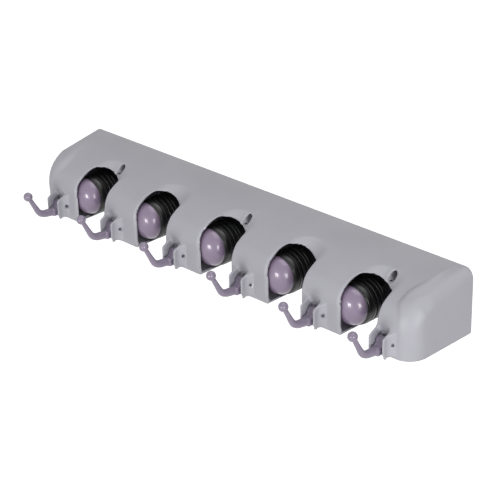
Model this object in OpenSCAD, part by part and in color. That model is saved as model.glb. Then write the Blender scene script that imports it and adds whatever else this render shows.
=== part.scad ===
// Wall rack for mop and broom handles.
// A handle is pushed into an open slot and wedged between a fixed wall and a rubber roller.
// The roller runs in a sloping track, so its own weight and the pull of the handle tighten the grip.
// Six folding hooks hang between ears on the front of the housing.
// Frame: X along the rack, Y into the wall (the wall is y = 0), Z up.
// Origin: the middle wall screw, on the wall.

/* [Housing] */
// Depth of the housing from the wall to its front face
rack_depth = 69; // [66:0.5:76]
// Height of the housing at the wall
rack_height = 54.5; // [53:0.5:62]
// Wall thickness of the moulding
wall_t = 2.4; // [1.8:0.1:2.6]
// Radius of the curved roof
roof_r = 92.5; // [86:0.5:105]
// Distance from the wall to the level crown of the roof
crown_y = 10; // [6:0.5:14]
// Rounding between the roof and the front face
brow_r = 8; // [5:0.5:10]
// Radius of the higher roof over the two end blocks
block_roof_r = 84; // [80:0.5:90]
// Distance from the wall to the crown of an end block
block_crown_y = 17; // [15:0.5:19]
// Rounding between roof and front face on the end blocks
block_brow_r = 13; // [8:0.5:15]
// Length of each end block that stands proud of the roof
block_len = 20; // [14:0.5:24]
// How far the end blocks stand in front of the front face
block_out = 1.2; // [0.6:0.1:2.4]
// Corner radius of the housing seen from above
plan_r = 12; // [9:0.5:15]
// Radius of the top corners seen from the front
end_r = 9; // [6:0.5:10]
// Rounding along the bottom front edge
sill_r = 0.8; // [0.5:0.1:2]
// Thickness of the floors of the pillars
floor_t = 1.4; // [1.2:0.1:1.6]
// Height of the lip along a floor where it meets a slot
lip_z = 2.5; // [2.2:0.1:2.7]

/* [Handle slots] */
// Left end of the housing to the first slot
slot_start = 48.5; // [47.5:0.5:50]
// Width of a handle slot
slot_w = 35.6; // [35:0.1:36.4]
// Width of the pillar between two slots
pillar_w = 39.8; // [39:0.1:40.6]
// Last slot to the right end of the housing
right_len = 34.3; // [34.3:0.1:40]
// Height of the arch over a slot at its highest, near the left
arch_top = 45.9; // [45:0.1:46.5]
// Height of the arch over a slot at its right corner
arch_low = 43.3; // [42.5:0.1:44.5]
// Height of the arch where it dips under the wall screw
arch_dip = 41.8; // [41.4:0.1:42.2]
// Radius of the arch's left corner
arch_r = 8; // [6:0.5:10]
// Radius of the scooped dish above an arch, at its rim
dish_r = 22.6; // [21:0.1:23]
// Slope of the wall of the dish
dish_slope = 45; // [40:1:52]
// Offset of the dish from the left edge of its slot
dish_x = 21; // [19:0.5:22]
// Distance of the dish's centre from the front face
dish_in = 11.5; // [10.5:0.5:13]

/* [Rollers] */
// Radius of the dome at the front of a roller
dome_r = 15.7; // [15:0.1:16]
// Length of the dome
dome_len = 11.8; // [11:0.1:13]
// Gap between the dome and the inside of the housing front
dome_gap = 0.6; // [0.5:0.1:1.5]
// Largest radius of the rubber sleeve
sleeve_r = 16.8; // [16.2:0.1:17]
// Length of the smooth collar at the front of the sleeve
collar_len = 9; // [7:0.5:11]
// Spacing of the rubber ribs
rib_pitch = 5.4; // [4.8:0.1:5.8]
// Depth of the grooves between the ribs
rib_depth = 1.8; // [1:0.1:2.4]
// Number of rubber ribs behind the collar
rib_count = 4; // [3:1:4]
// Radius of the hub inside the sleeve
hub_r = 11.5; // [10:0.1:12]
// Radius of the spindle behind the hub
spindle_r = 3.5; // [3:0.1:4]
// Offset of a resting roller from the left edge of its slot
rest_x = -1.6; // [-2:0.1:-1]
// Height of a resting roller above the bottom of the housing
rest_z = 19.8; // [19.7:0.1:20.6]
// Travel of a roller along its track
track_travel = 5.6; // [4:0.1:5.7]
// Slope of the track above the horizontal
track_angle = 35; // [30:1:36]
// Running clearance of the spindle, the shoe and the hinge pins
run_fit = 0.06; // [0.04:0.01:0.08]

/* [Back plate] */
// Thickness of the back plate
plate_t = 2.5; // [2:0.1:3]
// Space between the back plate and the wall
plate_gap = 4.2; // [4:0.1:5]
// Clearance between the back plate and the housing
plate_fit = 0.2; // [0.1:0.05:0.4]
// Outer radius of a screw post inside the housing
post_r = 3.6; // [3.2:0.1:4]
// Length of a screw post
post_len = 28; // [20:1:32]
// Shank radius of the small screws
small_screw_r = 1.4; // [1.2:0.05:1.6]
// Head radius of the small screws
small_head_r = 3; // [2.6:0.1:3.2]
// Height of the screw posts above the bottom of the housing
post_z = 10; // [9:0.5:12]

/* [Wall screws] */
// Radius of the hole for a wall screw
screw_hole_r = 2.3; // [2:0.05:2.6]
// Radius of the tunnel for the head of a wall screw
tunnel_r = 3.5; // [3.3:0.1:3.6]
// How much wider the mouth of the tunnel is
mouth_grow = 0.4; // [0.2:0.1:0.5]
// Wall of the tunnel
tunnel_t = 2; // [1.5:0.1:2.2]
// Offset of a wall screw from the left edge of its slot
screw_x = 25; // [24:0.5:27]
// Height of the wall screws above the bottom of the housing
screw_z = 46.8; // [46.6:0.1:47.2]
// Material under the head of a wall screw
seat_t = 3.4; // [3:0.1:6]

/* [Hooks] */
// How much wider the inner hooks are spaced than the slots
hook_spread = 1; // [0:0.1:1.5]
// Distance of the first hook from the left end of the housing
hook_inset = 26.5; // [25:0.1:28]
// Distance of the last hook from the right end of the housing
last_inset = 27; // [26:0.1:27]
// Thickness of a hook ear
ear_t = 1.8; // [1.5:0.1:2]
// Gap between the two ears
ear_gap = 11; // [10:0.1:11.2]
// How far the ears stand out of the front face
ear_out = 9.2; // [8:0.1:10]
// Height of the top of the ears at their front edge
ear_top = 18.4; // [17.5:0.1:19]
// How much higher the ears meet the front face
ear_rise = 3.6; // [2:0.1:4]
// Height of the underside of the ears
ear_foot = 1.8; // [1.4:0.1:2.4]
// Radius of the blend between an ear and the front face
ear_root_r = 4; // [2:0.1:4.5]
// Height of a hook pivot
pivot_z = 11.5; // [11:0.1:12]
// Distance of a hook pivot in front of the front face
pivot_out = 0.5; // [0.2:0.1:1]
// Depth of the pocket behind a hook
pocket_depth = 3.6; // [3.4:0.1:3.8]
// Height of the back of the pocket above the pivot
pocket_rise = 10; // [9:0.5:11]
// Radius of the barrel at the root of a hook
barrel_r = 3.7; // [3.2:0.1:3.8]
// Radius of the pins on the barrel
pin_r = 1.4; // [1.2:0.1:1.6]
// How far a pin reaches into its ear
pin_grip = 1; // [0.8:0.1:1.4]
// Side clearance of a hook between its ears
hook_side = 0.25; // [0.15:0.05:0.4]
// Width of the root of a hook
root_w = 8; // [7:0.1:9]
// How far the root reaches below the pivot
root_drop = 8; // [7:0.1:8.4]
// Radius of a hook's arm
arm_r = 3.6; // [3.2:0.1:3.8]
// Radius of a hook's stem under its ball
stem_r = 2.1; // [1.8:0.1:2.4]
// Radius of the ball at the tip of a hook
ball_r = 3.9; // [3.5:0.1:4.3]

/* [Hidden] */
slot_count = 5;
hook_count = 6;

// Small overlap that lets cuts run past a face
eps = 0.5;
// How deep a post or tunnel runs into the wall beside it
run_in = 0.6;
// Facets of the true circles
fine = 96;

// Height of the roof where the rim of a dish reaches its back
dish_back = rack_depth - dish_in - dish_r;
dish_rim_z = rack_height - roof_r + sqrt(pow(roof_r, 2) - pow(dish_back - crown_y, 2));

// Places along the rack
slot_pitch = slot_w + pillar_w;
rack_len = slot_start + slot_count * slot_w + (slot_count - 1) * pillar_w + right_len;
function slot_left(k) = slot_start + slot_pitch * (k - 1);
function slot_right(k) = slot_left(k) + slot_w;
function roller_x(k) = slot_left(k) + rest_x;
// Slots whose arch carries a wall screw
screw_slots = [1, 3, 5];
origin_x = slot_left(3) + screw_x;

// Depths measured from the wall
plate_front = plate_gap + plate_t;
front_inside = rack_depth - wall_t;
dome_tip = front_inside - dome_gap;
sleeve_front = dome_tip - dome_len;
sleeve_back = sleeve_front - collar_len - rib_count * rib_pitch;
washer_t = 0.8;
head_t = 1.8;
drive_len = 4;
drive_w = 0.8;
flange_t = 1;
// Softening of the corners of a rib
rib_soft = 0.5;
// Depth of the screw's hole in the end of a spindle
spindle_bore = 8.5;
// Length of the shoulder that runs on the shoe's flange
shoulder_t = 2;
hub_back = plate_front + flange_t + 2 * run_fit;
washer_front = plate_gap - 2 * run_fit;
shoe_t = 1.1;
shoe_r = spindle_r + run_fit + shoe_t;
shoe_half_len = shoe_r + 1.5;
shoulder_r = shoe_r + shoe_t;
flange_r = shoe_r + 2;
washer_r = shoe_r + 2.4;

// Hooks: four spaced evenly about the middle and one near each end
hook_pitch = slot_pitch + hook_spread;
hook_places = [
    hook_inset,
    rack_len / 2 - 1.5 * hook_pitch,
    rack_len / 2 - 0.5 * hook_pitch,
    rack_len / 2 + 0.5 * hook_pitch,
    rack_len / 2 + 1.5 * hook_pitch,
    rack_len - last_inset
];
pivot_y = rack_depth + pivot_out;
pocket_back = rack_depth - pocket_depth;
pocket_top = pivot_z + pocket_rise;
liner_t = 1.2;
// Reach of the pocket's concave top above its back
scoop_h = 4.5;
ear_front = rack_depth + ear_out;
ear_root = rack_depth - wall_t;
// Slope cut off the lower front corner of an ear, and the softening of the upper one
ear_slant = 2.4;
ear_soft = 1.4;
// Clearance of a small screw in a hole that it only passes through
screw_fit = 0.3;
// Wall of the spacers between the back plate and the wall
spacer_t = 2;
// Gap between a hanging hook and the back of its pocket
root_gap = 0.1;

housing_grey = [0.66, 0.67, 0.71];
plate_grey = [0.58, 0.59, 0.63];
mauve = [0.58, 0.51, 0.62];
rubber_black = [0.06, 0.06, 0.07];
acetal_white = [0.92, 0.92, 0.9];
steel_grey = [0.72, 0.73, 0.75];

// Placing

// Moves the rack from its own bottom left corner to the part's origin
module placed() {
    translate([-origin_x, 0, -screw_z]) children();
}

// Extrudes a side view, drawn as depth and height, along the rack
module along_rack(from, to) {
    translate([from, 0, 0]) mirror([0, 1, 0]) rotate([90, 0, 90])
        linear_extrude(to - from) children();
}

// Extrudes a front view between two depths
module between_depths(back, front) {
    translate([0, -back, 0]) rotate([90, 0, 0]) linear_extrude(front - back) children();
}

// A cylinder that runs into the wall at one place of the front view
module bore_y(x, z, r, back, front) {
    translate([x, -back, z]) rotate([90, 0, 0]) cylinder(r = r, h = front - back, $fn = fine);
}

// A solid of revolution about a roller's axis, drawn as radius and depth
module turned(k) {
    translate([roller_x(k), 0, rest_z]) rotate([90, 0, 0]) rotate_extrude($fn = fine) children();
}

// Points of an arc about a centre
function arc_points(c, r, from, to, n) =
    [for (i = [0 : n]) c + r * [cos(from + (to - from) * i / n), sin(from + (to - from) * i / n)]];

// Housing outlines

// Side view: flat bottom, upright front, rounded brow and a curved roof
module side_view(inset, crown, radius, brow, depth) {
    bottom = inset > 0 ? floor_t : 0;
    roof_c = [crown, rack_height - radius];
    brow_dy = depth - brow - crown;
    brow_c = [depth - brow, roof_c[1] + sqrt(pow(radius - brow, 2) - pow(brow_dy, 2))];
    turn = atan2(brow_c[1] - roof_c[1], brow_dy);
    sill_c = [depth - sill_r - inset, sill_r + bottom];
    polygon(concat(
        [[-eps, bottom]],
        arc_points(sill_c, sill_r, -90, 0, 4),
        arc_points(brow_c, brow - inset, 0, turn, 6),
        arc_points(roof_c, radius - inset, turn + 2, 90, 14),
        [[-eps, rack_height - inset]]
    ));
}

// Front view with rounded top corners
module front_view(inset) {
    r = end_r - inset;
    polygon(concat(
        [[inset, -eps], [rack_len - inset, -eps]],
        arc_points([rack_len - end_r, rack_height - end_r], r, 0, 90, 6),
        arc_points([end_r, rack_height - end_r], r, 90, 180, 6)
    ));
}

// View from above with rounded front corners
module plan_view(inset) {
    r = plan_r - inset;
    y = plan_r - rack_depth - block_out;
    polygon(concat(
        [[rack_len - inset, eps], [inset, eps]],
        arc_points([plan_r, y], r, 180, 270, 7),
        arc_points([rack_len - plan_r, y], r, 270, 360, 7)
    ));
}

// The whole outside shape, or the same shape drawn in by the wall thickness
module envelope(inset = 0) {
    intersection() {
        union() {
            along_rack(inset, rack_len - inset)
                side_view(inset, crown_y, roof_r, brow_r, rack_depth);
            for (x = [0, rack_len - block_len])
                along_rack(x + inset, x + block_len - inset)
                    side_view(inset, block_crown_y, block_roof_r, block_brow_r, rack_depth + block_out);
        }
        translate([0, 0, -eps]) linear_extrude(rack_height + 2 * eps) plan_view(inset);
        between_depths(inset > 0 ? -eps : 0, rack_depth + block_out + eps) front_view(inset);
    }
}

// Front view of a handle slot: upright sides, a round left corner and a top that falls to the right
// and dips to leave material under the wall screw
module slot_view(k) {
    translate([slot_left(k), 0]) polygon(concat(
        [[0, -eps], [slot_w, -eps], [slot_w, arch_low], [screw_x + tunnel_r, arch_dip]],
        [[screw_x - tunnel_r, arch_dip + 0.25 * tunnel_r]],
        arc_points([arch_r, arch_top - arch_r], arch_r, 90, 180, 8)
    ));
}

// Dish in the roof above an arch: a cone about an upright axis, or the same cone with a skin round it
module dish(k, skin = 0) {
    low = arch_low - 6;
    high = rack_height + 1;
    rim = dish_r + skin / sin(dish_slope);
    translate([slot_left(k) + dish_x, dish_in - rack_depth, low])
        cylinder(
            r1 = rim - (dish_rim_z - low) / tan(dish_slope),
            r2 = rim + (high - dish_rim_z) / tan(dish_slope),
            h = high - low, $fn = fine
        );
}

// The inside of the moulding: the outside drawn in, less the skin of the dishes and the fixed walls
module hollow() {
    difference() {
        envelope(wall_t);
        for (k = [1 : slot_count]) {
            dish(k, wall_t);
            translate([slot_right(k), -2 * rack_depth, -eps])
                cube([wall_t, 2 * rack_depth - plate_front, rack_height]);
            translate([slot_left(k) - liner_t, -2 * rack_depth, -eps])
                cube([liner_t, 2 * rack_depth - plate_front, lip_z + eps]);
        }
    }
}

// Places of the six plate screws: one in each pillar and one at each end
post_inset = wall_t + post_r - run_in;
post_places = concat(
    [post_inset],
    [for (k = [1 : slot_count - 1]) slot_right(k) + post_inset],
    [rack_len - post_inset]
);

// Side view of the pocket behind a hook, with a concave top that clears the hook's root
module pocket_view(grow) {
    out = rack_depth + ear_out;
    lip = pocket_top + scoop_h;
    polygon([
        [pocket_back - grow, -eps],
        [out, -eps],
        [out, lip + grow],
        [rack_depth, lip + grow],
        [pocket_back + 0.4 * pocket_depth, lip - 0.27 * scoop_h + grow],
        [pocket_back + 0.11 * pocket_depth, lip - 0.62 * scoop_h + grow],
        [pocket_back - grow, pocket_top]
    ]);
}

// Side view of an ear: its top rises to the front face and its lower front corner is cut off
module ear_view() {
    polygon([
        [ear_root, ear_foot],
        [ear_front - ear_slant, ear_foot],
        [ear_front, ear_foot + 1.5 * ear_slant],
        [ear_front, ear_top - ear_soft],
        [ear_front - ear_soft, ear_top],
        [rack_depth, ear_top + ear_rise],
        [ear_root, ear_top + ear_rise]
    ]);
}

// View from above of the ear on one side of a hook, blended into the front face on its outside
module ear_plan(side) {
    inner = ear_gap / 2;
    outer = inner + ear_t;
    points = concat(
        [[inner, -ear_root], [inner, -ear_front], [outer, -ear_front]],
        arc_points([outer + ear_root_r, -rack_depth - ear_root_r], ear_root_r, 180, 90, 6),
        [[outer + ear_root_r, -ear_root]]
    );
    polygon([for (p = points) [side * p[0], p[1]]]);
}

// The two ears of a hook
module ears(x) {
    reach = ear_gap / 2 + ear_t + ear_root_r + eps;
    intersection() {
        along_rack(x - reach, x + reach) ear_view();
        union() for (side = [-1, 1])
            translate([x, 0, 0]) linear_extrude(rack_height) ear_plan(side);
    }
}

// Housing: one moulding with five slots, hollow pillars, ears, posts and wall-screw tunnels
module housing() {
    half = ear_gap / 2;
    pin_bore = ear_gap + 2 * ear_t + 1.5 * ear_root_r;
    color(housing_grey) placed() difference() {
        union() {
            difference() {
                union() {
                    envelope();
                    for (x = hook_places) ears(x);
                }
                hollow();
                for (k = [1 : slot_count])
                    between_depths(plate_front, rack_depth + 2 * block_out) slot_view(k);
            }
            intersection() {
                envelope();
                union() {
                    for (x = post_places)
                        bore_y(x, post_z, post_r, plate_front, plate_front + post_len);
                    for (k = screw_slots)
                        bore_y(slot_left(k) + screw_x, screw_z, tunnel_r + tunnel_t,
                            plate_front, dish_back + 2 * tunnel_r);
                    for (x = hook_places)
                        along_rack(x - half - liner_t, x + half + liner_t) pocket_view(liner_t);
                }
            }
        }
        for (k = [1 : slot_count]) dish(k);
        for (x = hook_places) {
            along_rack(x - half, x + half) pocket_view(0);
            translate([x - pin_bore / 2, -pivot_y, pivot_z]) rotate([0, 90, 0])
                cylinder(r = pin_r + run_fit, h = pin_bore, $fn = 48);
        }
        for (x = post_places)
            bore_y(x, post_z, small_screw_r, plate_front - eps, plate_front + post_len / 2);
        for (k = screw_slots) {
            bore_y(slot_left(k) + screw_x, screw_z, tunnel_r, plate_front + seat_t, rack_depth);
            bore_y(slot_left(k) + screw_x, screw_z, tunnel_r + mouth_grow,
                dish_back + tunnel_r, rack_depth);
            bore_y(slot_left(k) + screw_x, screw_z, screw_hole_r, plate_front - eps, rack_depth);
        }
    }
}

// Front view of a roller's track: a slot with round ends along the slope
module track_view(k, r, back, ahead) {
    translate([roller_x(k), rest_z]) rotate(180 - track_angle) {
        translate([-back, -r]) square([ahead + back, 2 * r]);
        translate([-back, 0]) circle(r = r, $fn = 64);
        translate([ahead, 0]) circle(r = r, $fn = 64);
    }
}

// Back plate: closes the housing and holds the five tracks
module back_plate() {
    edge = wall_t + plate_fit;
    slack = shoe_half_len - shoe_r;
    color(plate_grey) placed() difference() {
        union() {
            between_depths(plate_gap, plate_front) intersection() {
                front_view(edge);
                translate([0, edge]) square([rack_len, rack_height - 2 * edge]);
            }
            for (k = screw_slots)
                bore_y(slot_left(k) + screw_x, screw_z, screw_hole_r + spacer_t, 0, plate_gap + eps);
        }
        for (k = [1 : slot_count])
            between_depths(0, plate_front + eps)
                track_view(k, shoe_r + run_fit, slack, track_travel + slack);
        for (k = screw_slots)
            bore_y(slot_left(k) + screw_x, screw_z, screw_hole_r, -eps, plate_front + eps);
        for (x = post_places)
            bore_y(x, post_z, small_screw_r + screw_fit, 0, plate_front + eps);
    }
}

// Pan-head screw with its head towards the wall
module small_screw(x, z, head_back, length) {
    bore_y(x, z, small_head_r, head_back, head_back + head_t);
    bore_y(x, z, small_screw_r, head_back + head_t / 2, head_back + head_t + length);
}

// Cross-shaped drive in the head of a small screw
module cross_slot(x, z, head_back) {
    for (turn = [0, 90])
        translate([x, -head_back, z]) rotate([0, turn, 0])
            translate([-drive_len / 2, -head_t / 2, -drive_w / 2]) cube([drive_len, head_t, drive_w]);
}

// The six screws that hold the plate
module plate_screws() {
    color(steel_grey) placed() for (x = post_places)
        difference() {
            small_screw(x, post_z, plate_gap - head_t, plate_t + 0.4 * post_len);
            cross_slot(x, post_z, plate_gap - head_t);
        }
}

// Elliptical nose from its rim to its tip
function nose_points() =
    [for (a = [0 : 7.5 : 90]) [dome_r * cos(a), sleeve_front + dome_len * sin(a)]];

// Roller core: domed nose, hub and spindle in one moulding
module roller_core(k) {
    color(mauve) placed() difference() {
        turned(k) polygon(concat(
            [[0, washer_front]],
            [[spindle_r, washer_front]],
            [[spindle_r, hub_back]],
            [[shoulder_r, hub_back]],
            [[shoulder_r, hub_back + shoulder_t]],
            [[hub_r, hub_back + shoulder_t]],
            [[hub_r, sleeve_front]],
            nose_points()
        ));
        bore_y(roller_x(k), rest_z, small_screw_r, washer_front - eps, washer_front + spindle_bore);
    }
}

// Rubber sleeve: a smooth collar that swells backwards, then rounded ribs
module rubber_sleeve(k) {
    collar_back = sleeve_front - collar_len;
    groove = sleeve_r - rib_depth;
    color(rubber_black) placed() turned(k) polygon(concat(
        [[hub_r, sleeve_back], [groove, sleeve_back]],
        [for (i = [rib_count - 1 : -1 : 0])
            for (p = rib_points(collar_back - (i + 1) * rib_pitch, groove)) p],
        [[sleeve_r, collar_back], [sleeve_r - 0.3, sleeve_front - 0.55 * collar_len]],
        [[dome_r, sleeve_front], [hub_r, sleeve_front]]
    ));
}

// One rib: a groove, then a crown with softened corners
function rib_points(y, groove) = [
    [groove, y + rib_soft],
    [groove, y + 0.3 * rib_pitch],
    [sleeve_r - rib_soft, y + 0.3 * rib_pitch + rib_soft],
    [sleeve_r, y + 0.3 * rib_pitch + 2 * rib_soft],
    [sleeve_r, y + rib_pitch - rib_soft],
    [sleeve_r - rib_soft, y + rib_pitch]
];

// Slide shoe: a flanged bush that runs in the track and carries the spindle
module slide_shoe(k) {
    slack = shoe_half_len - shoe_r;
    color(acetal_white) placed() difference() {
        union() {
            between_depths(plate_gap - run_fit, plate_front + run_fit + flange_t / 2)
                track_view(k, shoe_r, slack, slack);
            bore_y(roller_x(k), rest_z, flange_r, plate_front + run_fit,
                plate_front + run_fit + flange_t);
        }
        bore_y(roller_x(k), rest_z, spindle_r + run_fit, 0, hub_back);
    }
}

// Steel washer that keeps the shoe in the track
module roller_washer(k) {
    color(steel_grey) placed() difference() {
        bore_y(roller_x(k), rest_z, washer_r, washer_front - washer_t, washer_front);
        bore_y(roller_x(k), rest_z, small_screw_r + screw_fit, 0, plate_front);
    }
}

// Screw that holds the washer on the spindle
module roller_screw(k) {
    head_back = washer_front - washer_t - head_t;
    color(steel_grey) placed() difference() {
        small_screw(roller_x(k), rest_z, head_back, washer_t + spindle_bore - eps);
        cross_slot(roller_x(k), rest_z, head_back);
    }
}

// Side view of a hook's root, which rests on the back of the pocket
module hook_root_view() {
    back = pocket_back + root_gap;
    foot = pivot_z - root_drop;
    polygon([
        [back, foot + 2],
        [back + 1.5, foot],
        [pivot_y + 3 * arm_r, foot],
        [pivot_y + 3 * arm_r, pivot_z - 0.6 * arm_r],
        [pivot_y + 1.8 * arm_r, pivot_z - 0.4 * arm_r],
        [pivot_y + 1.2 * barrel_r, pivot_z + 0.1 * barrel_r],
        [pivot_y + 0.7 * barrel_r, pivot_z + 0.7 * barrel_r],
        [pivot_y, pivot_z + barrel_r],
        [back, pivot_z]
    ]);
}

// Stations of a hook's arm and stem: depth and height from the pivot, then radius
stem = [
    [9, arm_r - root_drop, arm_r],
    [14.4, -3.9, arm_r],
    [18.6, -3.4, 0.95 * arm_r],
    [23.6, -0.7, 0.8 * arm_r],
    [28, 6, 1.15 * stem_r],
    [31.8, 12.7, stem_r],
    [34.4, 17.3, stem_r]
];
tip = stem[len(stem) - 1];

// Folding hook with pins that snap into the ears
module hook(x) {
    barrel_len = ear_gap - 2 * hook_side;
    color(mauve) placed() union() {
        translate([x - barrel_len / 2, -pivot_y, pivot_z]) rotate([0, 90, 0])
            cylinder(r = barrel_r, h = barrel_len, $fn = fine);
        translate([x - ear_gap / 2 - pin_grip, -pivot_y, pivot_z]) rotate([0, 90, 0])
            cylinder(r = pin_r, h = ear_gap + 2 * pin_grip, $fn = 48);
        along_rack(x - root_w / 2, x + root_w / 2) hook_root_view();
        for (i = [0 : len(stem) - 2])
            hull() {
                stem_ball(x, stem[i]);
                stem_ball(x, stem[i + 1]);
            }
        translate([x, -pivot_y - tip[0], pivot_z + tip[1]]) sphere(r = ball_r, $fn = 48);
    }
}

module stem_ball(x, s) {
    translate([x, -(pivot_y + s[0]), pivot_z + s[1]]) sphere(r = s[2], $fn = 16);
}

housing();
back_plate();
plate_screws();
for (k = [1 : slot_count]) {
    roller_core(k);
    rubber_sleeve(k);
    slide_shoe(k);
    roller_washer(k);
    roller_screw(k);
}
for (k = [1 : hook_count])
    hook(hook_places[k - 1]);
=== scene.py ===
"""A wall rack for mop and broom handles, dressed for the studio.

Lengths inside the shape functions are millimetres measured from the rack's own corner: x from its
left end, u out from the wall and z up from its bottom edge. Meshes are stored in metres in the
frame of the construction model.
"""
import math

import bpy
import numpy as np
from mathutils import Matrix, Vector


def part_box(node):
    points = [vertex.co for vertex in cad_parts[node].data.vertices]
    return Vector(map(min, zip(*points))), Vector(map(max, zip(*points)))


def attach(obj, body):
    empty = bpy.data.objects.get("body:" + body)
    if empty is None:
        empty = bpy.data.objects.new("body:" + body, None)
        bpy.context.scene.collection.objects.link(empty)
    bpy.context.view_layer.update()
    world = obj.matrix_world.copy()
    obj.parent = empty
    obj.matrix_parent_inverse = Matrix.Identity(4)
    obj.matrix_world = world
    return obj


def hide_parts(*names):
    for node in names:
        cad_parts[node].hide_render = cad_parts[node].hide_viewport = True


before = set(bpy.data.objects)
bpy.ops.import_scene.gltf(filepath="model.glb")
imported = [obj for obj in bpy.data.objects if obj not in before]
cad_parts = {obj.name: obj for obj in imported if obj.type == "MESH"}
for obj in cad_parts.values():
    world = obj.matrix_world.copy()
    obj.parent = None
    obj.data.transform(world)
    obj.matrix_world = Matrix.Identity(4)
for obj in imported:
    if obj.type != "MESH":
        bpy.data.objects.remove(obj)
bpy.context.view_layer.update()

# Camera: a long lens above and to the right of the rack, as in the photograph, rolled by a degree.
# Its aim is set out from the housing's corner in the construction model, as every piece is.
house_low, house_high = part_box("housing")
corner = np.array([house_low.x, house_high.y, house_low.z])


def place(points):
    """Turns rows of x, u, z in millimetres into metres: depth u runs against the frame's Y."""
    return corner + points * np.array([0.001, -0.001, 0.001])


camera_azimuth = math.radians(44.91)
camera_elevation = math.radians(25.64)
camera_roll = math.radians(-1.10)
camera_distance = 1.41516
camera_lens = 126.5
aim = Vector(place(np.array([221.76, 34.4, 17.52])))
back = Vector((
    math.sin(camera_azimuth) * math.cos(camera_elevation),
    -math.cos(camera_azimuth) * math.cos(camera_elevation),
    math.sin(camera_elevation),
))
level_right = Vector((math.cos(camera_azimuth), math.sin(camera_azimuth), 0))
level_up = back.cross(level_right)
camera_right = level_right * math.cos(camera_roll) + level_up * math.sin(camera_roll)
camera_up = level_up * math.cos(camera_roll) - level_right * math.sin(camera_roll)
camera_data = bpy.data.cameras.new("photo_camera")
camera_data.lens = camera_lens
camera_data.sensor_width = 36
camera_data.clip_end = 20
camera = bpy.data.objects.new("photo_camera", camera_data)
bpy.context.collection.objects.link(camera)
turn = Matrix((camera_right, camera_up, back)).transposed().to_4x4()
camera.matrix_world = Matrix.Translation(aim + back * camera_distance) @ turn
bpy.context.scene.camera = camera

# Housing: one injection-moulded shell of grey plastic, screwed to the wall through three tunnels.
# Its walls, arches, dishes and ears run into each other with soft blends, which a single grid can't
# follow, so it is drawn as a distance field and the field's zero surface is meshed.
rack_len = (house_high.x - house_low.x) * 1000
rack_height = (house_high.z - house_low.z) * 1000
rack_depth = 69.0
wall = 2.4
floor_t = 1.4
plate_front = 6.7
slot_w = 35.6

# A roller's axis lies 1.6 mm to the left of its slot's left side, in the pillar's dish.
roller_offset = -1.6


def middle(node):
    """Gives the centre of a node's box as x, u, z in millimetres."""
    low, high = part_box(node)
    centre = (np.array(low) + np.array(high)) / 2
    return (centre - corner) * np.array([1000, -1000, 1000])


roller_x = [middle(f"rubber_sleeve_{k}")[0] for k in range(1, 6)]
slot_left = [x - roller_offset for x in roller_x]
slot_pitch = slot_left[1] - slot_left[0]
hook_x = [middle(f"hook_{k}")[0] for k in range(1, 7)]


def rounded_both(a, b, radius):
    """Keeps what is inside both fields and rounds the edge between them to a radius.

    Both fields are pushed out by the radius, joined by the length of their positive parts, and
    drawn in again, so two square walls meet in a true quarter round.
    """
    outside = np.hypot(np.maximum(a + radius, 0), np.maximum(b + radius, 0))
    return np.minimum(np.maximum(a + radius, b + radius), 0) + outside - radius


def cut_away(a, tool, radius):
    """Takes the tool's inside out of a field and rounds the edge that it leaves."""
    return rounded_both(a, -tool, radius)


def soft_join(a, b, width):
    """Adds two fields and fills the corner between them with a parabola of a width."""
    return np.minimum(a, b) - np.maximum(width - np.abs(a - b), 0) ** 2 / (4 * width)


def ease(t):
    """Rises from 0 to 1 with level ends, as three t squared less two t cubed."""
    t = np.clip(t, 0, 1)
    return t * t * (3 - 2 * t)


def ramp(value, start, length):
    """Rises from 0 to 1 with level ends, from a start and over a length."""
    return ease((value - start) / length)


def blend(first, last, share):
    """Goes evenly from a first value to a last one as the share goes from 0 to 1."""
    return first + (last - first) * share


def roof(u, z, crown, radius):
    """Height above a roof: level from the wall to its crown, then a circle that falls forward."""
    fall = np.hypot(u - crown, z - rack_height + radius) - radius
    return np.where(u > crown, fall, z - rack_height)


# The long body's roof and brow. It stops short of each end, inside the end block.
body_crown = 10.0
body_roof_r = 92.5
body_brow_r = 8.0
body_stop = 13.5

# The end blocks: a roof that sinks to a straight slope, a prouder front face and an inner side that
# bows over the brow. A slope has the cosine of its lean beside it, which makes its field a true
# distance. A zone is where a change starts and how long it takes.
block_crown = 17.0
block_roof_r = 84.0
block_slope = 0.187
block_slope_cos = 0.983
block_slope_lift = 0.3
block_slope_width = 22
block_proud = 0.5
block_proud_above = 0.7
block_proud_zone = (14, 18)
block_brow_r = 13.0
block_brow_zone = (42, 16)
block_inner_x = 20.6
block_swell = 3.6
block_swell_zone = (33, 20)
block_dip = 7
block_dip_zone = (60, 12)

# These change from the left end's value to the right end's, within this length past the middle.
crisp_length = 50
block_plan_r = (20.0, 17.0)
block_end_r = (4.0, 8.0)
block_inner_r = (9.0, 7.0)
crease_width = (2.0, 0.6)


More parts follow.
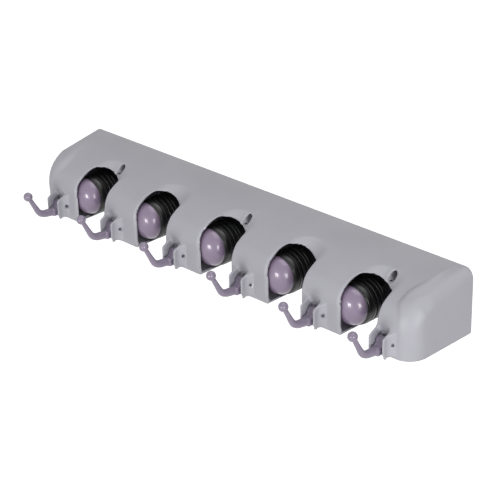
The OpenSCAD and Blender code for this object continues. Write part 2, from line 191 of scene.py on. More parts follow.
def envelope(x, u, z):
    """The outside above its bottom: the long body and two prouder end blocks, softly joined.

    Each is a roof and a front face with a rounded brow. A block is a little proud of the front
    face, and more so above the hooks. Its roof sinks to a straight slope towards the end. Its inner
    side swells and draws in again along the depth and is rounded, so that a crease is left where it
    meets the body: crisp on the right and faint on the left.
    """
    from_middle = np.abs(x - rack_len / 2)
    to_end = rack_len / 2 - from_middle
    crisp = ramp(x, rack_len / 2, crisp_length)
    body = rounded_both(roof(u, z, body_crown, body_roof_r), u - rack_depth, body_brow_r)
    body = np.maximum(body, body_stop - to_end)
    front = u - rack_depth - block_proud - block_proud_above * ramp(z, *block_proud_zone)
    plan = rounded_both(front, -to_end, blend(*block_plan_r, crisp))
    end_round = blend(blend(*block_end_r, crisp), block_brow_r, ramp(u, *block_brow_zone))
    top = roof(u, z, block_crown, block_roof_r)
    straight = block_slope_cos * (z - rack_height - block_slope_lift + block_slope * u)
    top = top + ease(1 - to_end / block_slope_width) * np.maximum(straight - top, 0)
    block = rounded_both(top, plan, end_round)
    swell = block_swell * ramp(u, *block_swell_zone)
    inner_side = block_inner_x + swell - block_dip * ramp(u, *block_dip_zone)
    block = rounded_both(block, to_end - inner_side, blend(*block_inner_r, crisp))
    both = soft_join(body, block, blend(*crease_width, crisp))
    return np.maximum(both, z - rack_height)


# The slots' outline on the front face.
slot_top = 45.9
slot_dip = 4.1
slot_dip_zone = (6, 24)
slot_rise = 1.5
slot_rise_zone = (29, 8)
slot_widening = 1.8
slot_widening_zone = (18, 16)
slot_left_r = 6.5
slot_right_r = 0.8


def slot_opening(across, z):
    """A handle slot seen from the front: two sides, of which the left one widens above the hooks
    and ends in a round corner, and a top that falls to a dip under the wall screw and rises."""
    fall = slot_dip * ramp(across, *slot_dip_zone)
    top = z - slot_top + fall - slot_rise * ramp(across, *slot_rise_zone)
    left = -across - slot_widening * ramp(z, *slot_widening_zone)
    return rounded_both(rounded_both(left, top, slot_left_r), across - slot_w, slot_right_r)


# The hooks' pivot and the ears that hold it.
pivot_u = 69.5
pivot_z = 11.5
ear_half_gap = 5.5
ear_t = 1.8
ear_reach = 78.2
ear_top = 18.4
ear_top_u = 76.8
ear_top_slope = 0.4615
ear_top_cos = 0.908
ear_corner_r = 1.4
ear_flare_u = 75.5
ear_flare_width = 11
ear_flare_cos = 0.85
ear_foot_u = 75.8
ear_foot_z = 1.8
ear_foot_lean = (0.832, 0.555)
ear_edge_r = 0.6
ear_inner_edge_r = 0.3
nub_u = 75.4
nub_z = 2.0
nub_r = 1.3


def ear_plate(across, u, z):
    """The two ears of a hook: thin plates whose top rises towards the housing, with the lower front
    corner cut off and a small round nub below. Their outer sides flare into the housing with the
    square of the depth behind the place where the flare starts."""
    lean_u, lean_z = ear_foot_lean
    flare = np.maximum(ear_flare_u - u, 0) ** 2 / ear_flare_width
    outer = ear_flare_cos * (np.abs(across) - ear_half_gap - ear_t - flare)
    top = ear_top_cos * (z - ear_top + ear_top_slope * (u - ear_top_u))
    plate = rounded_both(u - ear_reach, top, ear_corner_r)
    plate = np.maximum(plate, lean_u * (u - ear_foot_u) + lean_z * (ear_foot_z - z))
    plate = np.maximum(plate, ear_foot_z - z)
    plate = np.minimum(plate, np.hypot(u - nub_u, z - nub_z) - nub_r)
    plate = rounded_both(outer, plate, ear_edge_r)
    plate = rounded_both(plate, ear_half_gap - np.abs(across), ear_inner_edge_r)
    return np.maximum(plate, rack_depth - wall - u)


# The pocket behind a hook, the scoop above it and the lining that closes both inside.
pocket_back = 65.4
pocket_top = 16.4
pocket_lining = 1.2
pocket_edge_r = 0.4
scoop_u = 66.6
scoop_low = 14
scoop_slope = 0.42
scoop_cos = 0.92
scoop_side_r = 2.5
scoop_lining = 1.6
scoop_edge_r = 2.0
lining_join = 1.0
lining_root = 0.8
ear_root = 1.6


def pocket_room(across, u, z):
    """The room for a hook's root: a box between the ears, and above it a shallow scoop whose floor
    slopes from the box up to the front face."""
    gap = np.abs(across) - ear_half_gap
    box = np.maximum(np.maximum(gap, pocket_back - u), z - pocket_top)
    slope = scoop_cos * (scoop_u + scoop_slope * (z - pocket_top) - u)
    scoop = rounded_both(gap, np.maximum(slope, scoop_low - z), scoop_side_r)
    return box, scoop


# The dish round each roller: a steep cone at its rim, and below that the flatter cone of its bowl.
dish_x = 21.0
dish_u = 57.5
dish_radius = 22.6
dish_rim_z = 51.06
dish_slope = 0.364
dish_cos = 0.94
bowl_inset = 1
bowl_drop = 1.8
bowl_slope = 1.19
bowl_cos = 0.643
dish_rim_r = 1.6

# The openings' edges, which grow rounder by front_edge_r beside the left side and on the front
# face, from just above the foot to below the top. Then the tray's lip and the room inside.
bottom_edge_r = 0.7
edge_r = 0.9
front_edge_r = 2.8
front_edge_x = 9
front_edge_fade = 4
front_edge_foot_zone = (1.5, 5)
front_edge_z = 47
front_edge_z_fade = 20
front_edge_u_zone = (57, 7)
lip_t = 1.2
lip_z = 2.5
lip_back = 55
corner_r = 1.0
inner_edge_r = 0.3

# The hinge pins' holes, and the tunnels for the wall screws behind slots 1, 3 and 5.
pin_hole_r = 1.46
pin_hole_reach = 10.3
screw_x = 25.0
screw_z = 46.8
screw_hole_r = 2.3
screw_seat_t = 3.4
tunnel_radius = 3.5
tunnel_wall = 2
tunnel_end_u = 42
tunnel_mouth_u = 38.5
tunnel_mouth_wider = 0.4
tunnel_root = 1.2
tunnel_edge_r = 0.5

# A slot's share of the length is centred this far from its left side.
slot_middle = 18
far_away = 50


def shell(x, u, z):
    """The housing: the envelope less its dishes, slots, hollow inside, tunnels and pockets.

    All slots are alike, so x is folded onto the nearest one, and likewise onto the nearest hook.
    """
    number = np.clip(np.round((x - slot_left[0] - slot_middle) / slot_pitch), 0, 4)
    slot_x = x - slot_left[0] - number * slot_pitch
    hook_places = np.array(hook_x)
    nearest = np.abs(np.asarray(x)[..., None] - hook_places).argmin(-1)
    across = x - hook_places[nearest]

    form = envelope(x, u, z)
    from_axis = np.hypot(slot_x - dish_x, u - dish_u)
    rim = dish_cos * (from_axis - dish_radius + dish_slope * (dish_rim_z - z))
    below_bowl = dish_rim_z - bowl_drop - z
    bowl = bowl_cos * (from_axis - dish_radius + bowl_inset + bowl_slope * below_bowl)
    cone = np.maximum(rim, bowl)
    opening = np.maximum(slot_opening(slot_x, z), plate_front - u)
    beside = ease((front_edge_x - np.abs(slot_x)) / front_edge_fade)
    below = ease((front_edge_z - z) / front_edge_z_fade)
    front_edge = beside * below * ramp(u, *front_edge_u_zone) * ramp(z, *front_edge_foot_zone)
    outside = rounded_both(form, -z, bottom_edge_r)
    outside = cut_away(outside, cone, dish_rim_r)
    outside = cut_away(outside, opening, edge_r + front_edge_r * front_edge)

    room = rounded_both(np.maximum(form + wall, wall - cone), floor_t - z, corner_r)
    recess = np.maximum(room, u - plate_front)
    room = np.maximum(room, plate_front - u)
    fixed_wall = np.abs(slot_x - slot_w - wall / 2) - wall / 2
    room = rounded_both(room, -fixed_wall, corner_r)
    lip = np.abs(slot_x + lip_t / 2) - lip_t / 2
    lip = np.maximum(np.maximum(lip, z - lip_z), lip_back - u)
    room = np.maximum(room, -lip)
    d = cut_away(outside, room, inner_edge_r)
    d = np.maximum(d, -recess)

    box, scoop = pocket_room(across, u, z)
    lining = soft_join(box - pocket_lining, scoop - scoop_lining, lining_join)
    d = soft_join(d, np.maximum(lining, outside), lining_root)
    d = cut_away(d, box, pocket_edge_r)
    d = cut_away(d, scoop, scoop_edge_r)
    d = soft_join(d, np.maximum(ear_plate(across, u, z), -opening), ear_root)
    d = np.maximum(np.maximum(d, -box), -z)
    from_pivot = np.hypot(u - pivot_u, z - pivot_z)
    pin_hole = np.maximum(from_pivot - pin_hole_r, np.abs(across) - pin_hole_reach)
    d = np.maximum(d, -pin_hole)

    # Slots 2 and 4 have no tunnel, so their axis is moved far away.
    axis = np.hypot(slot_x - screw_x, z - screw_z) + far_away * (number % 2)
    inside = np.maximum(outside, plate_front - u)
    boss = np.maximum(axis - tunnel_radius - tunnel_wall, u - tunnel_end_u)
    d = soft_join(d, np.maximum(boss, inside), tunnel_root)
    tunnel = np.maximum(axis - tunnel_radius, plate_front + screw_seat_t - u)
    d = cut_away(d, tunnel, tunnel_edge_r)
    mouth = np.maximum(axis - tunnel_radius - tunnel_mouth_wider, tunnel_mouth_u - u)
    d = cut_away(d, mouth, tunnel_edge_r)
    d = np.maximum(d, screw_hole_r - axis)
    return np.maximum(d, -u)


def zero_surface(field, low, high, step):
    """Meshes the surface where a distance field is zero.

    The field is read on a regular grid. Every grid cell that the surface crosses gets one point,
    the mean of the crossings on its twelve edges, and every grid edge that the surface crosses
    gets one four-sided face between the four cells round it. Each point is then slid along the
    field's slope onto the surface itself.
    """
    axes = [np.arange(a, b + step, step) for a, b in zip(low, high)]
    grid = [axes[0][:, None, None], axes[1][None, :, None], axes[2][None, None, :]]
    values = field(*[a.astype(np.float32) for a in grid])
    solid = values < 0
    cells = tuple(n - 1 for n in solid.shape)
    ends = [(i, j, k) for i in (0, 1) for j in (0, 1) for k in (0, 1)]

    def at(array, end):
        return array[tuple(slice(e, e + n) for e, n in zip(end, cells))]

    count = sum(at(solid, end).astype(np.int8) for end in ends)
    crossed = (count > 0) & (count < 8)
    number = np.full(cells, -1)
    number[crossed] = np.arange(crossed.sum())
    total = np.zeros((crossed.sum(), 3))
    weight = np.zeros(len(total))
    for end in ends:
        for axis in (0, 1, 2):
            if end[axis]:
                continue
            other = tuple(e + (i == axis) for i, e in enumerate(end))
            a, b = at(values, end)[crossed], at(values, other)[crossed]
            hit = (a < 0) != (b < 0)
            share = np.divide(a, a - b, out=np.zeros_like(a), where=hit)
            point = np.tile(np.array(end, float), (len(a), 1))
            point[:, axis] += share
            total += point * hit[:, None]
            weight += hit
    points = (np.argwhere(crossed) + total / weight[:, None]) * step + [a[0] for a in axes]
    faces = []
    for axis in (0, 1, 2):
        one, two = [(1, 2), (2, 0), (0, 1)][axis]
        near = [slice(None)] * 3
        far = [slice(None)] * 3
        near[axis], far[axis] = slice(0, -1), slice(1, None)
        edge = np.argwhere(solid[tuple(near)] != solid[tuple(far)])
        room = (edge[:, one] > 0) & (edge[:, two] > 0)
        room &= (edge[:, one] < cells[one]) & (edge[:, two] < cells[two])
        edge = edge[room]
        step_one, step_two = np.eye(3, dtype=int)[one], np.eye(3, dtype=int)[two]
        ring = [edge - step_one - step_two, edge - step_two, edge, edge - step_one]
        quad = np.stack([number[tuple(r.T)] for r in ring], 1)
        inward = ~solid[tuple(edge.T)]
        quad[inward] = quad[inward][:, ::-1]
        faces.append(quad)
    probe = step * 0.02
    longest = step * 0.4
    least_steep = 0.25
    for _ in range(4):
        here = field(*points.T)
        slope = np.stack([
            (field(*(points + probe * unit).T) - field(*(points - probe * unit).T)) / (2 * probe)
            for unit in np.eye(3)
        ], 1)
        steep = np.maximum((slope ** 2).sum(1), least_steep)
        move = -slope * (here / steep)[:, None]
        points = points + np.clip(move, -longest, longest)
    return points, np.concatenate(faces)


def add_piece(name, points, faces, material, body, slot, *nodes):
    """Makes a smooth-shaded mesh from points in millimetres and lets it stand for CAD nodes."""
    mesh = bpy.data.meshes.new(name)
    mesh.from_pydata(place(points).tolist(), [], faces.tolist())
    mesh.polygons.foreach_set("use_smooth", [True] * len(mesh.polygons))
    mesh.materials.append(material)
    mesh.update()
    piece = bpy.data.objects.new(name, mesh)
    bpy.context.collection.objects.link(piece)
    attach(piece, body)
    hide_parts(*nodes)
    return piece


def new_group(name, inputs, outputs):
    """Starts a shader node group with float inputs and named outputs."""
    group = bpy.data.node_groups.new(name, "ShaderNodeTree")
    for label, value in inputs.items():
        item = group.interface.new_socket(label, in_out="INPUT", socket_type="NodeSocketFloat")
        item.default_value = value
    for label, kind in outputs.items():
        group.interface.new_socket(label, in_out="OUTPUT", socket_type=kind)
    return group, group.nodes.new("NodeGroupInput"), group.nodes.new("NodeGroupOutput")


# Moulded grain: the fine texture that the mould leaves on a surface, as a height, and a broad
# noise that changes the roughness a little. All the plastics, the rubber and the steel use it.
grain, grain_in, grain_out = new_group(
    "moulded_grain",
    {"Scale": 900.0, "Roughness": 0.45, "Spread": 0.08},
    {"Height": "NodeSocketFloat", "Roughness": "NodeSocketFloat"},
)
grain_place = grain.nodes.new("ShaderNodeTexCoord")
grain_noise = grain.nodes.new("ShaderNodeTexNoise")
grain_noise.inputs["Detail"].default_value = 3
grain.links.new(grain_place.outputs["Object"], grain_noise.inputs["Vector"])
grain.links.new(grain_in.outputs["Scale"], grain_noise.inputs["Scale"])
grain_broad = grain.nodes.new("ShaderNodeTexNoise")
grain_broad.inputs["Scale"].default_value = 35
grain_broad.inputs["Detail"].default_value = 4
grain.links.new(grain_place.outputs["Object"], grain_broad.inputs["Vector"])
grain_shift = grain.nodes.new("ShaderNodeMath")
grain_shift.operation = "SUBTRACT"
grain_shift.inputs[1].default_value = 0.5
grain.links.new(grain_broad.outputs["Fac"], grain_shift.inputs[0])
grain_spread = grain.nodes.new("ShaderNodeMath")
grain_spread.operation = "MULTIPLY_ADD"
grain.links.new(grain_shift.outputs[0], grain_spread.inputs[0])
grain.links.new(grain_in.outputs["Spread"], grain_spread.inputs[1])
grain.links.new(grain_in.outputs["Roughness"], grain_spread.inputs[2])
grain.links.new(grain_noise.outputs["Fac"], grain_out.inputs["Height"])
grain.links.new(grain_spread.outputs[0], grain_out.inputs["Roughness"])

# Handled tint: a colour that drifts a little over the piece and pales on raised edges by the mesh's
# own pointiness, partly as wear where hands and handles rub it and partly as a painted highlight
# along the rounded edges.
tint, tint_in, tint_out = new_group(
    "handled_tint_and_edge_highlight",
    {"Drift": 0.04, "Wear_and_highlight": 0.3, "Scale": 22.0},
    {"Colour": "NodeSocketColor"},
)
for label in ("Rubbed_and_lit_edge", "Base"):
    tint.interface.new_socket(label, in_out="INPUT", socket_type="NodeSocketColor")
tint_place = tint.nodes.new("ShaderNodeTexCoord")
tint_noise = tint.nodes.new("ShaderNodeTexNoise")
tint_noise.inputs["Detail"].default_value = 5
tint.links.new(tint_place.outputs["Object"], tint_noise.inputs["Vector"])
tint.links.new(tint_in.outputs["Scale"], tint_noise.inputs["Scale"])
tint_level = tint.nodes.new("ShaderNodeMapRange")
tint_level.inputs["From Min"].default_value = 0.3
tint_level.inputs["From Max"].default_value = 0.7
tint_level.inputs["To Min"].default_value = -1
tint_level.inputs["To Max"].default_value = 1
tint.links.new(tint_noise.outputs["Fac"], tint_level.inputs["Value"])
tint_gain = tint.nodes.new("ShaderNodeMath")
tint_gain.operation = "MULTIPLY_ADD"
tint_gain.inputs[2].default_value = 1
tint.links.new(tint_level.outputs[0], tint_gain.inputs[0])
tint.links.new(tint_in.outputs["Drift"], tint_gain.inputs[1])
tint_drift = tint.nodes.new("ShaderNodeVectorMath")
tint_drift.operation = "SCALE"
tint.links.new(tint_in.outputs["Base"], tint_drift.inputs[0])
tint.links.new(tint_gain.outputs[0], tint_drift.inputs["Scale"])
tint_geometry = tint.nodes.new("ShaderNodeNewGeometry")
# Raised edges found by pointiness: their paler colour is wear and a painted highlight.
tint_edge = tint.nodes.new("ShaderNodeMapRange")
tint_edge.inputs["From Min"].default_value = 0.52
tint_edge.inputs["From Max"].default_value = 0.58
tint.links.new(tint_geometry.outputs["Pointiness"], tint_edge.inputs["Value"])
tint_amount = tint.nodes.new("ShaderNodeMath")
tint_amount.operation = "MULTIPLY"
tint.links.new(tint_edge.outputs[0], tint_amount.inputs[0])
tint.links.new(tint_in.outputs["Wear_and_highlight"], tint_amount.inputs[1])
tint_mix = tint.nodes.new("ShaderNodeMix")
tint_mix.data_type = "RGBA"
tint.links.new(tint_amount.outputs[0], tint_mix.inputs["Factor"])
tint.links.new(tint_drift.outputs[0], tint_mix.inputs["A"])
tint.links.new(tint_in.outputs["Rubbed_and_lit_edge"], tint_mix.inputs["B"])
tint.links.new(tint_mix.outputs["Result"], tint_out.inputs["Colour"])


relief_depth = 0.0002
coat_roughness = 0.14


def moulded(name, base, rubbed_and_lit_edge, roughness, grain_scale, bump, wear_and_highlight, coat=0.0):
    """A moulded material: tinted base colour that pales on raised edges as wear and a painted
    highlight, fine grain in the bump and varied roughness.
    """
    material = bpy.data.materials.new(name)
    material.use_nodes = True
    nodes, links = material.node_tree.nodes, material.node_tree.links
    shader = nodes["Principled BSDF"]
    colour = nodes.new("ShaderNodeGroup")
    colour.node_tree = tint
    colour.inputs["Base"].default_value = (*base, 1)
    # The pale edge colour and its amount paint wear and a painted highlight on raised edges.
    colour.inputs["Rubbed_and_lit_edge"].default_value = (*rubbed_and_lit_edge, 1)
    colour.inputs["Wear_and_highlight"].default_value = wear_and_highlight
    links.new(colour.outputs["Colour"], shader.inputs["Base Color"])
    texture = nodes.new("ShaderNodeGroup")
    texture.node_tree = grain
    texture.inputs["Scale"].default_value = grain_scale
    texture.inputs["Roughness"].default_value = roughness
    links.new(texture.outputs["Roughness"], shader.inputs["Roughness"])
    relief = nodes.new("ShaderNodeBump")
    relief.inputs["Strength"].default_value = bump
    relief.inputs["Distance"].default_value = relief_depth
    links.new(texture.outputs["Height"], relief.inputs["Height"])
    links.new(relief.outputs["Normal"], shader.inputs["Normal"])
    shader.inputs["Coat Weight"].default_value = coat
    shader.inputs["Coat Roughness"].default_value = coat_roughness
    return material


margin = 1.5
housing_step = 1.0
# Its raised edges pale strongly towards near white: wear and a painted highlight on the rounded
# edges.
housing_plastic = moulded(
    "housing_plastic", (0.375, 0.371, 0.408), (0.80, 0.80, 0.83),
    roughness=0.50, grain_scale=900, bump=0.08, wear_and_highlight=0.6)
house_points, house_faces = zero_surface(
    shell,
    (-margin, -margin, -margin),
    (rack_len + margin, ear_reach + margin, rack_height + margin),
    housing_step)
housing_piece = add_piece(
    "housing_moulding", house_points, house_faces, housing_plastic,
    "rack", "housing_plastic", "housing")
flatten = housing_piece.modifiers.new("flat_walls", "DECIMATE")
flatten.decimate_type = "DISSOLVE"
flatten.angle_limit = math.radians(0.15)
weigh = housing_piece.modifiers.new("wall_shading", "WEIGHTED_NORMAL")
weigh.keep_sharp = False

# Back plate: a flat moulded panel of darker grey plastic. It closes the housing against the wall
# and carries the five sloping tracks in which the rollers run.
plate_plastic = moulded(
    "plate_plastic", (0.27, 0.28, 0.31), (0.38, 0.39, 0.42),
    roughness=0.55, grain_scale=700, bump=0.15, wear_and_highlight=0.2)


def dress(node, material):
    """Gives a construction node its material in place of the plain one."""
    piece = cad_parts[node]
    piece.data.materials.clear()
    piece.data.materials.append(material)


dress("back_plate", plate_plastic)

# Plate screws: six small screws of zinc-plated steel, turned, with a slight drift of the plating.
# They go through the back plate into posts in the housing.
screw_steel = moulded(
    "screw_steel", (0.55, 0.56, 0.58), (0.70, 0.71, 0.73),
    roughness=0.32, grain_scale=1500, bump=0.08, wear_and_highlight=0.2)
screw_steel.node_tree.nodes["Principled BSDF"].inputs["Metallic"].default_value = 1.0
dress("plate_screws", screw_steel)

# Roller cores: mauve mouldings with an elliptical nose, a hub under the sleeve and a thin spindle
# that runs back through the plate. A profile is turned about the roller's axis.
roller_z = middle("rubber_sleeve_1")[2]
roller_sides = 96
dome_radius = 15.7
dome_len = 11.8
sleeve_front = 54.2
hub_radius = 11.5
spindle_radius = 3.5
hub_back = 7.82
spindle_back = 4.08
spindle_bevel = 0.3
neck_radius = 5.8
neck_bevel = 0.2
neck_len = 2
hub_bevel = 0.5
seat_step = 0.1

# The profile starts and ends this close to the axis, not on it.
pole_radius = 0.05


def turned(profile, around, x, z):
    """Spins a profile of radius and depth about the roller's axis.

    Each point of the profile becomes a ring, at x plus its radius times the sine of the angle and
    z plus its radius times the cosine, and each ring is joined to the next by four-sided faces.
    """
    angle = np.linspace(0, 2 * np.pi, around, endpoint=False)
    rings = len(profile)
    radius, depth = profile[:, :1], profile[:, 1:]
    points = np.stack([
        x + radius * np.sin(angle),
        depth + 0 * angle,
        z + radius * np.cos(angle),
    ], -1).reshape(-1, 3)
    row = np.arange(rings - 1)[:, None] * around
    here = np.arange(around)[None, :]
    after = (here + 1) % around
    faces = np.stack([row + here, row + after, row + around + after, row + around + here], -1)
    return points, faces.reshape(-1, 4)


mauve_plastic = moulded(
    "mauve_plastic", (0.215, 0.162, 0.243), (0.34, 0.28, 0.37),
    roughness=0.38, grain_scale=1100, bump=0.04, wear_and_highlight=0.2, coat=0.6)
nose_angle = np.radians(np.linspace(0, 89.0, 26))
nose_radius = dome_radius * np.cos(nose_angle)
nose_depth = sleeve_front + dome_len * np.sin(nose_angle)
hub_start = hub_back + neck_len
core_profile = np.concatenate([
    [
        [pole_radius, spindle_back],
        [spindle_radius - spindle_bevel, spindle_back],
        [spindle_radius, spindle_back + spindle_bevel],
        [spindle_radius, hub_back],
        [neck_radius - neck_bevel, hub_back],
        [neck_radius, hub_back + neck_bevel],
        [neck_radius, hub_start],
        [hub_radius - hub_bevel, hub_start],
        [hub_radius, hub_start + hub_bevel],
        [hub_radius, sleeve_front - seat_step],
        [dome_radius - 0.3, sleeve_front - seat_step],
        [dome_radius - 0.05, sleeve_front],
    ],
    np.stack([nose_radius, nose_depth], 1),
    [[pole_radius, sleeve_front + dome_len]],
])
for k in range(1, 6):
    points, faces = turned(core_profile, roller_sides, roller_x[k - 1], roller_z)
    add_piece(f"roller_nose_{k}", points, faces, mauve_plastic,
              f"roller_{k}", "mauve_plastic", f"roller_core_{k}")

# Rubber sleeves: black rubber stretched over the hubs, with a smooth gripping collar in front and
# three soft ribs behind it. A groove and a bead close the collar against the nose.
sleeve_rubber = moulded(
    "sleeve_rubber", (0.006, 0.006, 0.0065), (0.03, 0.03, 0.032),
    roughness=0.34, grain_scale=500, bump=0.08, wear_and_highlight=0.3)
sleeve_rubber.node_tree.nodes["Principled BSDF"].inputs["Specular IOR Level"].default_value = 0.5
sleeve_radius = 17.4
rib_front = 49.2
rib_pitch = 4.7
rib_depth = 1.9
rib_count = 3
rib_back = rib_front - rib_count * rib_pitch
sleeve_back = 24.6
band_inset = 0.5
band_fall = 0.3
collar_len = sleeve_front - rib_front
collar_fall = 1.3
collar_gap = 1.6
groove_radius = 15.9
bead_radius = 16.3
rib_steps = 24
band_u = np.linspace(sleeve_back, rib_back, 16)[:-1]
band_share = (rib_back - band_u) / (rib_back - sleeve_back)
band_radius = sleeve_radius - band_inset - band_fall * band_share ** 2
rib_u = np.linspace(rib_back, rib_front, rib_count * rib_steps + 1)
wave = 0.5 - 0.5 * np.cos(2 * np.pi * (rib_front - rib_u) / rib_pitch)
rib_radius = sleeve_radius - rib_depth * (1 - ease(wave * 1.8)) * (rib_u < rib_front - 0.01)
collar_u = np.linspace(rib_front, sleeve_front - collar_gap, 14)[1:]
collar_radius = sleeve_radius - collar_fall * ((collar_u - rib_front) / collar_len) ** 1.6
sleeve_profile = np.concatenate([
    [
        [hub_radius, sleeve_back],
        [sleeve_radius - 1.4, sleeve_back],
        [sleeve_radius - 0.9, sleeve_back + 0.3],
    ],
    np.stack([band_radius, band_u + 0.6], 1),
    np.stack([rib_radius, rib_u], 1),
    np.stack([collar_radius, collar_u], 1),
    [
        [groove_radius, sleeve_front - 1.3],
        [groove_radius, sleeve_front - 1.0],
        [bead_radius, sleeve_front - 0.7],
        [bead_radius, sleeve_front - 0.3],
        [bead_radius - 0.3, sleeve_front],
        [dome_radius - 0.35, sleeve_front],
        [hub_radius, sleeve_front],
    ],
])
for k in range(1, 6):
    points, faces = turned(sleeve_profile, roller_sides, roller_x[k - 1], roller_z)
    add_piece(f"ribbed_sleeve_{k}", points, faces, sleeve_rubber,
              f"roller_{k}", "sleeve_rubber", f"rubber_sleeve_{k}")

# Slide shoes: flanged bushes of natural acetal. Each runs in a track of the back plate and carries
# a roller's spindle.
shoe_acetal = moulded(
    "shoe_acetal", (0.78, 0.78, 0.74), (0.85, 0.85, 0.82),
    roughness=0.38, grain_scale=1200, bump=0.05, wear_and_highlight=0.2)
for k in range(1, 6):
    dress(f"slide_shoe_{k}", shoe_acetal)

# Roller washers and screws: zinc-plated steel, like the plate screws. A screw in the spindle's end
# holds the washer, which keeps the shoe in its track.
for k in range(1, 6):
    dress(f"roller_washer_{k}", screw_steel)
    dress(f"roller_screw_{k}", screw_steel)

# Hooks: mauve mouldings that fold up between the ears. A cross barrel with two pins carries a flat
# root, which narrows into a round arm and an upturned stem with a ball at its tip.
hook_plastic = moulded(
    "hook_plastic", (0.225, 0.187, 0.262), (0.42, 0.37, 0.46),
    roughness=0.28, grain_scale=1100, bump=0.04, wear_and_highlight=0.4, coat=0.2)
barrel_r = 3.7
barrel_side_gap = 0.8
hook_pin_r = 1.0
hook_pin_reach = 0.2
root_back = -4.0
root_front = 10.8
root_bottom = -8.0
root_front_r = 1.5
root_half_width = 4.0
root_r = 1.2
root_top_cos = 0.75
root_top_u = [-4.1, 0.0, 2.6, 4.4, 6.5, 11.0]
root_top_z = [0.0, 3.6, 2.6, 0.3, -1.5, -2.2]
ball_u = 34.4
ball_z = 17.3
ball_r = 3.9
bar_join = 1.2
ball_join = 0.8

# The arm and stem, as depth, height and radius from the pivot. Two rounds of corner cutting, at a
# quarter and three quarters of each length, smooth the bends.
stem = np.array([
    (9.0, -4.6, 3.5), (14.4, -4.0, 3.4), (18.6, -3.6, 3.2), (23.8, -1.4, 2.75), (28.2, 6.2, 2.15),
    (31.8, 12.7, 1.95), (ball_u, ball_z, 1.95),
])
for _ in range(2):
    near_first = 0.75 * stem[:-1] + 0.25 * stem[1:]
    near_second = 0.25 * stem[:-1] + 0.75 * stem[1:]
    inner = np.stack([near_first, near_second], 1).reshape(-1, 3)
    stem = np.concatenate([stem[:1], inner[1:-1], stem[-1:]])


def hook_field(x, u, z):
    """A hook about its own pivot: a barrel, two pins, a rounded root, tapered bars and a ball.

    The root's top follows the barrel down to the arm. A tapered bar is the distance to a line, less
    a radius that changes evenly along it, and neighbouring bars have one radius where they meet.
    """
    across = np.hypot(u, z)
    d = rounded_both(across - barrel_r, np.abs(x) - ear_half_gap + barrel_side_gap, 0.5)
    pins = rounded_both(across - hook_pin_r, np.abs(x) - ear_half_gap - hook_pin_reach, 0.3)
    d = np.minimum(d, pins)
    top = root_top_cos * (z - np.interp(u, root_top_u, root_top_z))
    root = rounded_both(u - root_front, np.maximum(root_back - u, root_bottom - z), root_front_r)
    root = rounded_both(root, top, root_r)
    root = rounded_both(root, np.abs(x) - root_half_width, root_r)
    d = soft_join(d, root, bar_join)
    bars = None
    for (u1, z1, r1), (u2, z2, r2) in zip(stem[:-1], stem[1:]):
        run, rise = u2 - u1, z2 - z1
        t = np.clip(((u - u1) * run + (z - z1) * rise) / (run * run + rise * rise), 0, 1)
        reach = np.sqrt(x ** 2 + (u - u1 - t * run) ** 2 + (z - z1 - t * rise) ** 2)
        bar = reach - (r1 + t * (r2 - r1))
        bars = bar if bars is None else np.minimum(bars, bar)
    d = soft_join(d, bars, bar_join)
    ball = np.sqrt(x ** 2 + (u - ball_u) ** 2 + (z - ball_z) ** 2) - ball_r
    return soft_join(d, ball, ball_join)


hook_step = 0.5
room_low = (-8, -5.5, -10)
room_high = (8, 39.5, 22)
hook_points, hook_faces = zero_surface(hook_field, room_low, room_high, hook_step)
for k in range(1, 7):
    moved = hook_points + np.array([hook_x[k - 1], pivot_u, pivot_z])
    add_piece(f"folding_hook_piece_{k}", moved, hook_faces, hook_plastic,
              f"folding_hook_{k}", "mauve_plastic", f"hook_{k}")

# Studio: a pale floor well below the rack, a white surround and four soft lamps round its middle.
# The floor lights up for what sees it, by less than white, so that it still shows a shadow.
floor_drop = 0.10
floor_size = 6.0
floor_mesh = bpy.data.meshes.new("studio_floor")
floor_z = house_low.z - floor_drop
floor_mesh.from_pydata(
    [(-floor_size, -floor_size, floor_z), (floor_size, -floor_size, floor_z),
     (floor_size, floor_size, floor_z), (-floor_size, floor_size, floor_z)],
    [], [(0, 1, 2, 3)])
floor = bpy.data.objects.new("studio_floor", floor_mesh)
bpy.context.collection.objects.link(floor)
floor_paint = bpy.data.materials.new("studio_floor")
floor_paint.use_nodes = True


def seen_rays(tree):
    """Adds a value that is 1 for camera, glossy and transmission rays and 0 for all others."""
    path = tree.nodes.new("ShaderNodeLightPath")
    first = tree.nodes.new("ShaderNodeMath")
    first.operation = "ADD"
    tree.links.new(path.outputs["Is Camera Ray"], first.inputs[0])
    tree.links.new(path.outputs["Is Glossy Ray"], first.inputs[1])
    second = tree.nodes.new("ShaderNodeMath")
    second.operation = "ADD"
    second.use_clamp = True
    tree.links.new(first.outputs[0], second.inputs[0])
    tree.links.new(path.outputs["Is Transmission Ray"], second.inputs[1])
    return second.outputs[0]


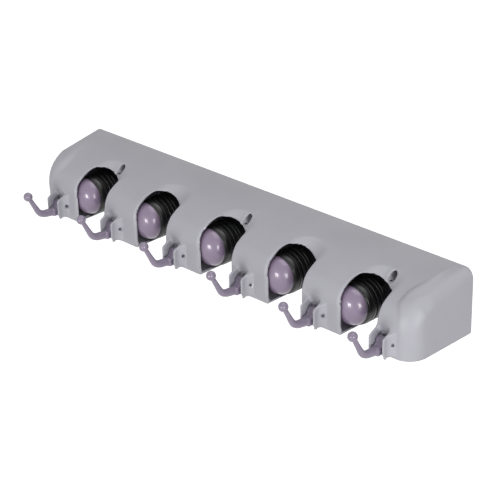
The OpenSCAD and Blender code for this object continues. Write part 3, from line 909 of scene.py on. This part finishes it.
floor_colour = (0.6, 0.6, 0.6, 1)
floor_brightness = 0.72
white = (1, 1, 1, 1)
floor_tree = floor_paint.node_tree
floor_shader = floor_tree.nodes["Principled BSDF"]
floor_shader.inputs["Base Color"].default_value = floor_colour
floor_shader.inputs["Roughness"].default_value = 0.9
floor_shader.inputs["Emission Color"].default_value = white
floor_glow = floor_tree.nodes.new("ShaderNodeMath")
floor_glow.operation = "MULTIPLY"
floor_glow.inputs[1].default_value = floor_brightness
floor_tree.links.new(seen_rays(floor_tree), floor_glow.inputs[0])
floor_tree.links.new(floor_glow.outputs[0], floor_shader.inputs["Emission Strength"])
floor_mesh.materials.append(floor_paint)

# The world is white where it is seen and dimmer where it only lights the rack.
world_lighting = 0.32
world_seen_more = 0.68
world = bpy.data.worlds.new("studio_world")
world.use_nodes = True
bpy.context.scene.world = world
world_tree = world.node_tree
world_light = world_tree.nodes["Background"]
world_light.inputs["Color"].default_value = white
world_level = world_tree.nodes.new("ShaderNodeMath")
world_level.operation = "MULTIPLY_ADD"
world_level.inputs[1].default_value = world_seen_more
world_level.inputs[2].default_value = world_lighting
world_tree.links.new(seen_rays(world_tree), world_level.inputs[0])
world_tree.links.new(world_level.outputs[0], world_light.inputs["Strength"])

lamp_distance = 2.4


def lamp(name, direction, size, power):
    """A square area lamp that looks at the camera's aim from a direction."""
    data = bpy.data.lights.new(name, "AREA")
    data.shape = "SQUARE"
    data.size = size
    data.energy = power
    thing = bpy.data.objects.new(name, data)
    toward = Vector(direction).normalized()
    thing.location = aim + toward * lamp_distance
    thing.rotation_euler = toward.to_track_quat("Z", "Y").to_euler()
    bpy.context.collection.objects.link(thing)


lamp("right_lamp", (0.90, -0.42, 0.20), size=0.8, power=27)
lamp("front_lamp", (0.05, -0.98, 0.10), size=0.6, power=23)
lamp("top_lamp", (0.1, 0.25, 1.0), size=1.8, power=19)
lamp("back_lamp", (-0.5, 0.87, -0.02), size=1.2, power=10)

bpy.context.scene.view_settings.view_transform = "Standard"
